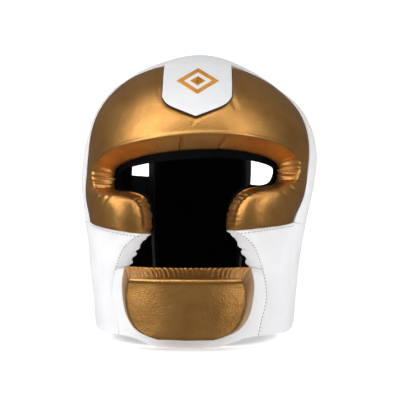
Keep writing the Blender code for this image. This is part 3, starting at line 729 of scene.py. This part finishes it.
def skin(node, chart, counts, look, slot_name, edges, **options):
    """The visible skin of one padded node. Edges are those at t 0, at t 1 and at both ends."""
    closed = options.get("closed", False)
    raised = options.get("raised", 0.0)
    s, t = grid_shares(chart, counts, closed)
    first, last, ends = edge_distances(chart, s, t, closed)
    azimuth, level = chart(s, t, 1.0)
    drop = 0.0
    for edge, distance in zip(edges, (first, last, ends)):
        rise = round_profile(distance, at_share(edge.width, s))
        drop = np.maximum(drop, at_share(edge.drop, s) * (1 - rise))
    top = thickness_at(azimuth, level) + raised - drop - hem_drop(azimuth, level)
    if "bulge" in options:
        top = top + options["bulge"](s, t)
    face = wall(azimuth, level, top)
    if "relief" in options:
        height = options["relief"](face, s, first, last, ends)
        face = face + normals_of(face, closed) * height[..., None]
    back_azimuth, back_level = chart(s, t, 0.0)
    base = thickness_at(back_azimuth, back_level) + SHELL_GAP if raised else LINING
    back = wall(back_azimuth, back_level, base)
    line = s[:, 0]
    swells = [swell_of(edges[0], line, options.get("first_ripple"))]
    swells.append(swell_of(edges[1], line, options.get("last_ripple")))
    swells.append(swell_of(edges[2], 0.0))
    mesh = solid_of(node + "_skin", keep_above_floor(face), keep_above_floor(back), closed, swells)
    obj = place(mesh, look, node)
    length = line_length(np.moveaxis(shell_point(*chart(s, t, 1.0)), 0, -2))[None, :]
    return Skin(face, first, s * length, (1 - s) * length)


def lining_skin(node, chart, counts, closed=False, opening=FLAT):
    """The visible lining behind one pad: soft, with rolled edges."""
    s, t = grid_shares(chart, counts, closed)
    first, last, ends = edge_distances(chart, s, t, closed)
    azimuth, level = chart(s, t, 0.0)
    edge = np.minimum(np.minimum(first, last), ends)
    quilting = LINING_UNEVEN * wrinkles(wall(azimuth, level, 0.0), LINING_WAVE, 5)
    inner = wall(azimuth, level, LINING_ROUND * (1 - round_profile(edge)) - quilting)
    outer = wall(azimuth, level, LINING - LAYER_GAP)
    swells = [swell_of(edge, 0.0) for edge in (opening, FLAT, FLAT)]
    mesh = solid_of(node + "_skin", keep_above_floor(outer), keep_above_floor(inner), closed, swells)
    obj = place(mesh, "black_lining", node)


# Stitches.
STITCH = 2.1 * MM
STITCH_STEP = 3.3 * MM
THREAD = 0.75 * MM


def line_at(grid, distance, wanted, rows_first=True):
    """The line on a grid of points where a distance from its edge has the wanted value."""
    if not rows_first:
        grid, distance = np.swapaxes(grid, 0, 1), distance.T
    line = []
    for points, away in zip(grid, distance):
        order = np.argsort(away)
        line.append([np.interp(wanted, away[order], points[order, k]) for k in range(3)])
    return np.array(line)


def evenly(line, step):
    """Points and directions at even steps along a line."""
    lengths = np.concatenate([[0], np.cumsum(np.linalg.norm(np.diff(line, axis=0), axis=-1))])

    def along(at):
        return np.stack([np.interp(at, lengths, line[:, k]) for k in range(3)], -1)

    at = np.arange(step / 2, lengths[-1], step)
    return along(at), along(at + step / 4) - along(at - step / 4)


def stitches(name, lines, look):
    """Rows of short stitches, pressed half into the leather."""
    shape = bmesh.new()
    for line in lines:
        for point, direction in zip(*evenly(line, STITCH_STEP)):
            made = bmesh.ops.create_icosphere(shape, subdivisions=1, radius=0.5)
            turn = Vector(direction).to_track_quat("X", "Z").to_matrix().to_4x4()
            scale = Matrix.Diagonal((STITCH, THREAD, THREAD, 1))
            matrix = Matrix.Translation(Vector(point)) @ turn @ scale
            bmesh.ops.transform(shape, matrix=matrix, verts=made["verts"])
    mesh = bpy.data.meshes.new(name)
    shape.to_mesh(mesh)
    shape.free()
    add(name, mesh, look)


# Materials: the darkest and lightest colour, then how rough and how metallic each is. Grain and crinkle
# are each a texture scale per metre and the strength of its bump.
Fabric = namedtuple(
    "Fabric", "low high roughness metallic grain crinkle sheen coat specular",
    defaults=(0.0, (900, 0.1), (60, 0.1), 0.0, 0.0, 0.5),
)
FABRICS = {
    "gold_leather": Fabric(
        (0.68, 0.322, 0.078), (0.83, 0.420, 0.115), 0.38, 0.95, (900, 0.40), (70, 0.16), coat=0.35
    ),
    "white_leather": Fabric((0.88, 0.885, 0.90), (0.93, 0.935, 0.95), 0.42, 0.0, (1000, 0.15), (40, 0.08)),
    "black_lining": Fabric(
        (0.0015, 0.0015, 0.002), (0.003, 0.003, 0.0035), 0.9, 0.0, (700, 0.3), (40, 0.2), specular=0.12
    ),
    "black_webbing": Fabric((0.008, 0.008, 0.009), (0.014, 0.014, 0.016), 0.55, 0.0, (420, 0.6), (30, 0.1)),
    "black_leather": Fabric((0.006, 0.006, 0.007), (0.010, 0.010, 0.011), 0.5, 0.0, (1000, 0.2), (45, 0.12)),
    # Stitches on white: the thread is white, drawn dark grey as painted shade of the needle holes round it.
    "white_thread_hole_shade": Fabric((0.17, 0.17, 0.19), (0.24, 0.24, 0.26), 0.7),
    "black_thread": Fabric((0.03, 0.03, 0.032), (0.05, 0.05, 0.052), 0.6),
    # Painted shadow: a dark brown tube that stands in for the shade in the gap round the shield.
    "painted_seam_shadow": Fabric((0.03, 0.02, 0.012), (0.05, 0.03, 0.02), 0.6),
    "gold_thread": Fabric((0.16, 0.08, 0.02), (0.20, 0.10, 0.03), 0.6),
    "satin_thread": Fabric(
        (0.52, 0.20, 0.004), (0.72, 0.31, 0.010), 0.42, 0.0, (1500, 0.2), (60, 0.05), sheen=0.2
    ),
}
COAT_ROUGHNESS = 0.38
CLOUD_SCALE = 35.0
CLOUD_START, CLOUD_END = 0.35, 0.65
CRINKLE_HEIGHT = 0.004
GRAIN_HEIGHT = 0.0004


def set_inputs(tree, made, inputs):
    """Sets or links inputs of a shader node."""
    for name, value in inputs.items():
        if isinstance(value, bpy.types.NodeSocket):
            tree.links.new(value, made.inputs[name])
        else:
            made.inputs[name].default_value = value
    return made


def node(tree, kind, **inputs):
    return set_inputs(tree, tree.nodes.new(kind), inputs)


def ramp(tree, factor, low, high):
    """A colour ramp between two colours."""
    made = tree.nodes.new("ShaderNodeValToRGB")
    tree.links.new(factor, made.inputs["Fac"])
    first, last = made.color_ramp.elements
    first.position, first.color = CLOUD_START, (*low, 1)
    last.position, last.color = CLOUD_END, (*high, 1)
    return made.outputs["Color"]


def fabric(name):
    """The material of one row of the table."""
    row = FABRICS[name]
    grain, grain_bump = row.grain
    crinkle, crinkle_bump = row.crinkle
    made = bpy.data.materials.new(name)
    made.use_nodes = True
    tree = made.node_tree
    place_at = tree.nodes.new("ShaderNodeTexCoord").outputs["Object"]
    clouds = node(tree, "ShaderNodeTexNoise", Vector=place_at, Scale=CLOUD_SCALE, Detail=4.0)
    cells = node(tree, "ShaderNodeTexVoronoi", Vector=place_at, Scale=float(grain))
    folds = node(tree, "ShaderNodeTexNoise", Vector=place_at, Scale=float(crinkle), Detail=3.0)
    rough = {"Height": folds.outputs["Fac"], "Strength": crinkle_bump, "Distance": CRINKLE_HEIGHT}
    fine = {"Height": cells.outputs["Distance"], "Strength": grain_bump, "Distance": GRAIN_HEIGHT}
    fine["Normal"] = node(tree, "ShaderNodeBump", **rough).outputs["Normal"]
    set_inputs(tree, tree.nodes["Principled BSDF"], {
        "Base Color": ramp(tree, clouds.outputs["Fac"], row.low, row.high),
        "Normal": node(tree, "ShaderNodeBump", **fine).outputs["Normal"],
        "Roughness": row.roughness, "Metallic": row.metallic, "Sheen Weight": row.sheen,
        "Coat Weight": row.coat, "Coat Roughness": COAT_ROUGHNESS, "Specular IOR Level": row.specular,
    })
    return made


LOOKS = {name: fabric(name) for name in FABRICS}

FOLDS = [
    # At the eye corners.
    Fold(-78, 157, -90, 163, 1.3, 1.2),
    Fold(-80, 151, -92, 153, 1.2, 1.5),
    Fold(-80, 146, -92, 142, 1.3, 1.5),
    Fold(-77, 142, -88, 132, 1.4, 1.3),
    Fold(-72, 140, -82, 126, 1.4, 1.0),
    Fold(85, 165, 97, 171, 1.3, 1.2),
    Fold(87, 158, 99, 160, 1.2, 1.5),
    Fold(87, 151, 99, 149, 1.3, 1.6),
    Fold(85, 145, 97, 137, 1.4, 1.5),
    Fold(80, 141, 92, 126, 1.5, 1.2),
    # On the brow.
    Fold(-35, 254, -30, 222, 1.6, 1.0),
    Fold(33, 226, 40, 213, 2.4, 1.2),
    Fold(4, 205, 1, 199, 1.5, 0.4),
]

# Pleats across the gusset of the brow: share along the edge, half-width as a share, and depth in mm.
Pleat = namedtuple("Pleat", "at width depth")
BROW_PLEATS = [
    Pleat(0.313, 0.004, 2.6),
    Pleat(0.395, 0.003, 1.6),
    Pleat(0.465, 0.0035, 4.2),
    Pleat(0.587, 0.004, 4.6),
    Pleat(0.650, 0.003, 1.6),
    Pleat(0.703, 0.004, 2.8),
]
PLEAT_SLANT = 0.012

# Gathered edges: how many gathers, how far they slant across the gusset, and the seed of their draw.
Gather = namedtuple("Gather", "count slant seed")
BROW_GATHER = Gather(62, 0.006, 3)
BROW_CRUMPLE = Gather(70, 0.0, 3)
JAW_GATHER = Gather(15, 0.06, 8)
CHIN_GATHER = Gather(22, 0.03, 6)

# The cheeks end, and the eye corners lie, at these shares from the brow pad's ends.
CHEEK_END = 0.15
CHEEK_FADE = 0.05
CORNER_AT = 0.215
CORNER_SPREAD = 0.045


def shield_edge(count, lift=0.0):
    """The shield's border, down one side, round its point and up the other side."""
    line = np.linspace(0, 1, count)
    sides = [(np.zeros(count), line[::-1]), (line, np.zeros(count)), (np.ones(count), line)]
    parts = []
    for s, t in sides:
        azimuth, level = shield_chart(s, t, 1.0)
        parts.append(wall(azimuth, level, thickness_at(azimuth, level) + lift))
    return np.concatenate(parts)


def distance_to(points, line):
    """Distance of each point from the nearest point of a line."""
    flat = points.reshape(-1, 1, 3)
    near = [np.linalg.norm(chunk - line, axis=-1).min(-1) for chunk in np.array_split(flat, 40)]
    return np.concatenate(near).reshape(points.shape[:-1])


def near_cheek(s):
    """1 on the cheeks and 0 on the brow."""
    return np.clip((CHEEK_END - np.minimum(s, 1 - s)) / CHEEK_FADE, 0, 1)


def near_corner(s):
    """1 at the eye corners, fading to both sides."""
    return bell(np.minimum(s, 1 - s), CORNER_AT, CORNER_SPREAD)


def brow_relief(face, s, first, last, ends):
    """Seam round the shield, soft unevenness, a bead along the brow, pinched cheeks and creases."""
    edge = np.minimum(first, ends)
    corner, cheek = near_corner(s), near_cheek(s)
    groove = -1.0 * bell(distance_to(face, shield_edge(60)), 0, 2.2 * MM)
    soft = 0.45 * wrinkles(face, 55 * MM, 11) * np.clip(edge / (8 * MM), 0, 1)
    bead = 0.7 * bell(edge, 3 * MM, 2 * MM) * (1 - cheek)
    cheek = cheek * np.clip(ends / (12 * MM), 0, 1)
    pinch = -1.6 * cheek * bell(first, 1.2 * MM, 1.6 * MM)
    reach = (3.5 + 5.5 * corner) * MM
    crumple = (1.2 * cheek + 2.0 * corner) * (gathers(s, 0.0, BROW_CRUMPLE) - 0.5) * bell(first, 0, reach)
    return (groove + soft + bead + pinch + crumple) * MM + sum(crease(face, fold) for fold in FOLDS)


def gathers(s, share, gather):
    """Small irregular pleats along an edge, between about 0 and 1, at a share across the gusset."""
    random = np.random.default_rng(gather.seed)
    along = (s + gather.slant * share) * gather.count
    total = 0.0
    for _ in range(5):
        total = total + np.sin(2 * math.pi * (along * random.uniform(0.6, 1.4) + random.uniform(0, 1)))
    return 0.5 + total / 7


def brow_ripple(s, share):
    """Gathers at the corners and cheeks, and single pleats under the brow."""
    deep = 0.3 + 3.6 * near_corner(s) + 2.0 * near_cheek(s)
    pleats = sum(pleat.depth * bell(s + PLEAT_SLANT * share, pleat.at, pleat.width) for pleat in BROW_PLEATS)
    return (deep * gathers(s, share, BROW_GATHER) - pleats) * MM


def soft_relief(amount, size, seed):
    """A relief of soft unevenness alone, in mm."""

    def relief(face, s, first, last, ends):
        return amount * MM * wrinkles(face, size * MM, seed)

    return relief


def jaw_ripple(s, share):
    """Crumples beside the mouth, smaller beside the chin guard."""
    upper = np.clip((0.6 - s) / 0.25, 0, 1)
    return MM * (0.8 + 3.8 * upper) * (gathers(s, share, JAW_GATHER) - 0.3)


def chin_top_ripple(s, share):
    """Gathers along the chin pad's top gusset, fading at its corners."""
    return MM * 3.2 * (gathers(s, share, CHIN_GATHER) - 0.35) * np.sin(math.pi * s) ** 0.3


def chin_relief(face, s, first, last, ends):
    """A bright roll along the seam at the top of the chin pad, with a groove behind it."""
    roll = 0.9 * bell(last, 3.4 * MM, 1.5 * MM)
    groove = 1.3 * bell(last, 0, 0.9 * MM)
    return (roll - groove + 0.35 * wrinkles(face, 40 * MM, 21)) * MM


# Edges of the pads that aren't plain seams.
BROW_OPENING = Edge(
    lambda s: 4.5 + 21 * near_cheek(s) + 7 * near_corner(s),
    lambda s: 2.2 + 10.5 * near_cheek(s) + 1.5 * near_corner(s),
    lambda s: 0.6 + 2.4 * near_cheek(s) + 4.0 * near_corner(s),
)
CHEEK_FOOT = Edge(5, 1.5, 0.4)
CHIN_PAD_FOOT = Edge(4, 1.6, 1.2)
CHIN_PAD_HEAD = Edge(3.2, 2.4, 2.2)
CHIN_PAD_SIDE = Edge(3.5, 2.2, 1.6)
FREE = Edge(6, 2.5, 1.4)
JAW_FRONT = Edge(16, 6.5, 3.0)
BAR_FOOT = Edge(6, 2, 1)
BAR_HEAD = Edge(9, 4, 1.5)
BAR_END = Edge(6, 2.2, 0.0)

STITCH_INSET = 1.6 * MM
CHEEK_STITCH_INSET = 3.2 * MM
STRAP_STITCH_INSET = 3 * MM
SIDES = ("left", 1), ("right", -1)


def build_gold():
    skin(
        "brow_and_cheek_pad", brow_chart, (480, 64), "gold_leather", "gold_leather",
        (BROW_OPENING, RIM, CHEEK_FOOT), bulge=cheek_bulge, relief=brow_relief, first_ripple=brow_ripple,
    )
    chin = skin(
        "chin_pad", chin_pad_chart, (240, 64), "gold_leather", "gold_leather",
        (CHIN_PAD_FOOT, CHIN_PAD_HEAD, CHIN_PAD_SIDE), raised=CHIN_PAD_THICKNESS,
        relief=chin_relief, last_ripple=chin_top_ripple,
    )
    ends = [line_at(chin.face, away, STITCH_INSET, False) for away in (chin.start, chin.finish)]
    stitches("chin_pad_stitches", ends, "gold_thread")


def white_skin(name, chart, counts, edges, relief, **options):
    """A white pad with a soft relief."""
    white = "white_leather"
    return skin(name, chart, counts, white, white, edges, relief=soft_relief(*relief), **options)


def build_white():
    for name, side in SIDES:
        jaw = white_skin(
            "jaw_pad_" + name, jaw_chart(side), (190, 50), (JAW_FRONT, SEAM, RIM), (0.5, 45, 31 + side),
            first_ripple=jaw_ripple,
        )
        front = line_at(jaw.face, jaw.first, STITCH_INSET)
        top = line_at(jaw.face, jaw.start, CHEEK_STITCH_INSET, False)
        # Grey stitch dots: white thread with painted shade of its needle holes.
        stitches("jaw_stitches_" + name, [front, top], "white_thread_hole_shade")
        white_skin(
            "ear_pad_" + name, ear_chart(side), (168, 44), (FREE, SEAM, SEAM), (0.5, 45, 41 + side), closed=True
        )
        white_skin("neck_pad_" + name, neck_chart(side), (100, 50), (FREE, SEAM, SEAM), (0.5, 45, 51 + side))
    white_skin("chin_bar", chin_bar_chart, (120, 50), (BAR_FOOT, BAR_HEAD, BAR_END), (0.4, 30, 61))
    white_skin("crown_pad", crown_chart, (110, 110), (SEAM, SEAM, SEAM), (0.6, 45, 71))
    skin("rear_pad", rear_chart, (80, 80), "black_leather", "black_strap", (FREE, FREE, FREE))


# Thin pieces on the shell: thickness, width of the rounding, and height over the shell.
Panel = namedtuple("Panel", "thickness rounding ground")
SHIELD = Panel(PANEL_THICKNESS, 3 * MM, 0.3 * MM)
STRAP = Panel(STRAP_THICKNESS, 1.2 * MM, SHELL_GAP)
PANEL_EDGE = 0.35


def panel_skin(name, chart, counts, look, panel):
    """The visible skin of a thin piece on the shell, its face, and distances from its long edges."""
    s, t = grid_shares(chart, counts, False)
    first, last, ends = edge_distances(chart, s, t, False)
    azimuth, level = chart(s, t, 1.0)
    rise = round_profile(np.minimum(np.minimum(first, last), ends), panel.rounding)
    base = thickness_at(azimuth, level) + panel.ground
    face = wall(azimuth, level, base + panel.thickness * lerp(PANEL_EDGE, 1, rise))
    flat = swell_of(FLAT, 0.0)
    mesh = solid_of(name + "_skin", face, wall(azimuth, level, base), False, (flat, flat, flat))
    return place(mesh, look, name), face, (first, last)


# Embroidered mark on the shield: a lozenge ring round a small lozenge. A band's inner and outer limits
# are shares of the mark's size, and crest is where it starts on its humped section.
MARK_HEIGHT = 238 * MM
MARK_HALF_WIDTH = 19 * MM
MARK_HALF_TALL = 12.5 * MM
MARK_RAISE = 1.2 * MM
MARK_THREADS = 24
Band = namedtuple("Band", "inner outer crest")
MARK_BANDS = [Band(0.64, 1.0, 0.0), Band(0.0, 0.38, 0.5)]


def on_shield(x, z, lift):
    """Points over the shield at distances across and up the front view."""
    level = level_of(z)
    azimuth = np.zeros_like(x)
    for _ in range(8):
        reach = np.hypot(*np.moveaxis(shell_point(azimuth, level)[..., :2], -1, 0))
        azimuth = np.degrees(np.arcsin(x / reach))
    return wall(azimuth, level, thickness_at(azimuth, level) + SHIELD.ground + PANEL_THICKNESS + lift)


def mark_side(band, corner, next_corner, along, across):
    """One side of one band of the mark, with ridges for its threads."""
    side = lerp(corner, next_corner, along[..., None]) * lerp(band.inner, band.outer, across)[..., None]
    threads = 0.3 * np.abs(np.sin(math.pi * MARK_THREADS * along))
    hump = np.sin(math.pi * lerp(band.crest, 1, across)).clip(0) ** 0.5
    lift = MARK_RAISE * (hump * (0.82 + threads) - 0.15)
    return on_shield(side[..., 0], MARK_HEIGHT + side[..., 1], lift)


def build_mark():
    corners = np.array([(1, 0), (0, 1), (-1, 0), (0, -1)], float) * (MARK_HALF_WIDTH, MARK_HALF_TALL)
    grid = np.meshgrid(np.linspace(0, 1, 6 * MARK_THREADS + 1), np.linspace(0, 1, 9), indexing="ij")
    sides = [mark_side(band, corners[k - 4], corners[k - 3], *grid) for band in MARK_BANDS for k in range(4)]
    cells = np.arange(grid[0].size).reshape(grid[0].shape)
    quads = [index_quads(cells + k * cells.size) for k in range(len(sides))]
    mesh = bpy.data.meshes.new("forehead_mark")
    vertices = np.concatenate([side.reshape(-1, 3) for side in sides])
    mesh.from_pydata(vertices.tolist(), [], np.concatenate(quads).tolist())
    add("forehead_mark", mesh, "satin_thread")


def painted_seam_shadow(name, line, radius, look):
    """A dark tube that lies along a seam, drawn as painted shadow of the seam's gap."""
    curve = bpy.data.curves.new(name, "CURVE")
    curve.dimensions = "3D"
    curve.bevel_depth, curve.bevel_resolution = radius, 2
    path = curve.splines.new("POLY")
    path.points.add(len(line) - 1)
    for point, spot in zip(path.points, line):
        point.co = (*spot, 1)
    add(name, curve, look)


def build_panels():
    white = "white_leather"
    shield, _, _ = panel_skin("forehead_shield", shield_chart, (90, 60), white, SHIELD)
    # A dark tube round the shield: painted shadow of the seam's gap.
    painted_seam_shadow("shield_seam_shadow", shield_edge(40, 0.2 * MM), 0.6 * MM, "painted_seam_shadow")
    _, face, edges = panel_skin("rear_strap", strap_chart, (150, 26), "black_webbing", STRAP)
    lines = [line_at(face, edge, STRAP_STITCH_INSET) for edge in edges]
    stitches("rear_strap_stitches", lines, "black_thread")


def build_linings():
    lining_skin("brow_lining", brow_lining_chart, (220, 26), opening=ROLLED)
    lining_skin("crown_lining", crown_chart, (60, 60))
    lining_skin("rear_lining", rear_chart, (50, 50))
    lining_skin("chin_lining", chin_bar_chart, (70, 28))
    for name, side in SIDES:
        lining_skin("ear_lining_" + name, ear_chart(side), (108, 20), True, ROLLED)
        lining_skin("jaw_lining_" + name, jaw_chart(side), (60, 24), opening=ROLLED)
        lining_skin("neck_lining_" + name, neck_chart(side), (60, 26))


# Camera.
CAMERA_DISTANCE = 1.3
CAMERA_TARGET = Vector((0, 0, 0.129))
CAMERA_AZIMUTH = 4
CAMERA_ELEVATION = 2
LENS = 120.7
SENSOR = 36


def direction_to(azimuth, elevation):
    """Unit direction from an azimuth, from the front towards +X, and an elevation, in degrees."""
    turn, rise = math.radians(azimuth), math.radians(elevation)
    return Vector((math.sin(turn) * math.cos(rise), -math.cos(turn) * math.cos(rise), math.sin(rise)))


def aim(made, target, direction, distance):
    """Places a camera or a lamp away from its target and turns it to look there."""
    made.location = target + direction * distance
    made.rotation_euler = (-direction).to_track_quat("-Z", "Y").to_euler()
    bpy.context.scene.collection.objects.link(made)


def build_camera():
    data = bpy.data.cameras.new("camera")
    data.lens, data.sensor_width = LENS, SENSOR
    data.clip_start, data.clip_end = 0.05, 30
    camera = bpy.data.objects.new("camera", data)
    aim(camera, CAMERA_TARGET, direction_to(CAMERA_AZIMUTH, CAMERA_ELEVATION), CAMERA_DISTANCE)
    bpy.context.scene.camera = camera


# Soft boxes: azimuth from the front towards +X and elevation in degrees, then metres, watts, and
# whether shiny leather mirrors the box.
Lamp = namedtuple("Lamp", "name azimuth elevation distance wide tall power mirrored")
LAMPS = [
    Lamp("key_light", -47, 38, 1.4, 0.80, 1.50, 7.3, True),
    Lamp("fill_light", 46, 34, 1.5, 0.60, 1.00, 2.4, True),
    Lamp("low_left_light", -42, 6, 1.5, 0.45, 0.80, 3.6, True),
    Lamp("low_right_light", 42, 6, 1.5, 0.45, 0.80, 3.6, True),
    Lamp("top_light", 0, 66, 2.2, 2.20, 1.20, 9, True),
    Lamp("left_side_light", -115, 15, 1.6, 0.60, 1.20, 1.6, False),
    Lamp("right_side_light", 115, 15, 1.6, 0.60, 1.20, 3, False),
]
LAMP_AIM = Vector((0, 0, 0.14))
WORLD_GREY = 0.12


def build_lights():
    for lamp in LAMPS:
        data = bpy.data.lights.new(lamp.name, "AREA")
        data.shape, data.size, data.size_y, data.energy = "RECTANGLE", lamp.wide, lamp.tall, lamp.power
        light = bpy.data.objects.new(lamp.name, data)
        aim(light, LAMP_AIM, direction_to(lamp.azimuth, lamp.elevation), lamp.distance)
        light.visible_glossy = lamp.mirrored
    world = bpy.data.worlds.new("studio")
    world.use_nodes = True
    grey = WORLD_GREY, WORLD_GREY, WORLD_GREY, 1
    world.node_tree.nodes["Background"].inputs["Color"].default_value = grey
    bpy.context.scene.world = world


# Stage.
STAGE_REACH = 4.0
STAGE_DEPTH = 2.2
STAGE_HEIGHT = 5.0
STAGE_GREY = 0.9
FLOOR_GLOW = 0.45
WALL_GLOW = 0.9


def plain_stage(name, corners, strength, lights_up):
    """Plain pale faces. Those that don't light up the room are seen by the camera alone."""
    faces = np.arange(len(corners)).reshape(-1, 4)
    mesh = bpy.data.meshes.new(name)
    mesh.from_pydata(corners, [], faces.tolist())
    look = bpy.data.materials.new(name)
    look.use_nodes = True
    set_inputs(look.node_tree, look.node_tree.nodes["Principled BSDF"], {
        "Base Color": (STAGE_GREY, STAGE_GREY, STAGE_GREY, 1), "Roughness": 0.9,
        "Emission Color": (1, 1, 1, 1), "Emission Strength": strength,
    })
    mesh.materials.append(look)
    made = bpy.data.objects.new(name, mesh)
    bpy.context.scene.collection.objects.link(made)
    made.visible_glossy = False
    made.visible_diffuse = lights_up
    made.visible_shadow = lights_up
    return made


def upright(start, end):
    """Corners of a wall between two floor points."""
    return [(*start, 0), (*end, 0), (*end, STAGE_HEIGHT), (*start, STAGE_HEIGHT)]


def build_stage():
    near = [(-STAGE_REACH, -STAGE_REACH), (STAGE_REACH, -STAGE_REACH)]
    far = [(-STAGE_REACH, STAGE_DEPTH), (STAGE_REACH, STAGE_DEPTH)]
    ground = [(*spot, 0) for spot in (*near, *reversed(far))]
    around = upright(*near) + upright(near[0], far[0]) + upright(near[1], far[1])
    floor = plain_stage("floor", ground, FLOOR_GLOW, True)
    backdrop = plain_stage("backdrop", upright(*far), WALL_GLOW, True)
    plain_stage("side_walls", around, WALL_GLOW, False)


build_gold()
build_white()
build_panels()
build_linings()
build_mark()
build_camera()
build_lights()
build_stage()
bpy.context.scene.view_settings.view_transform = "Standard"
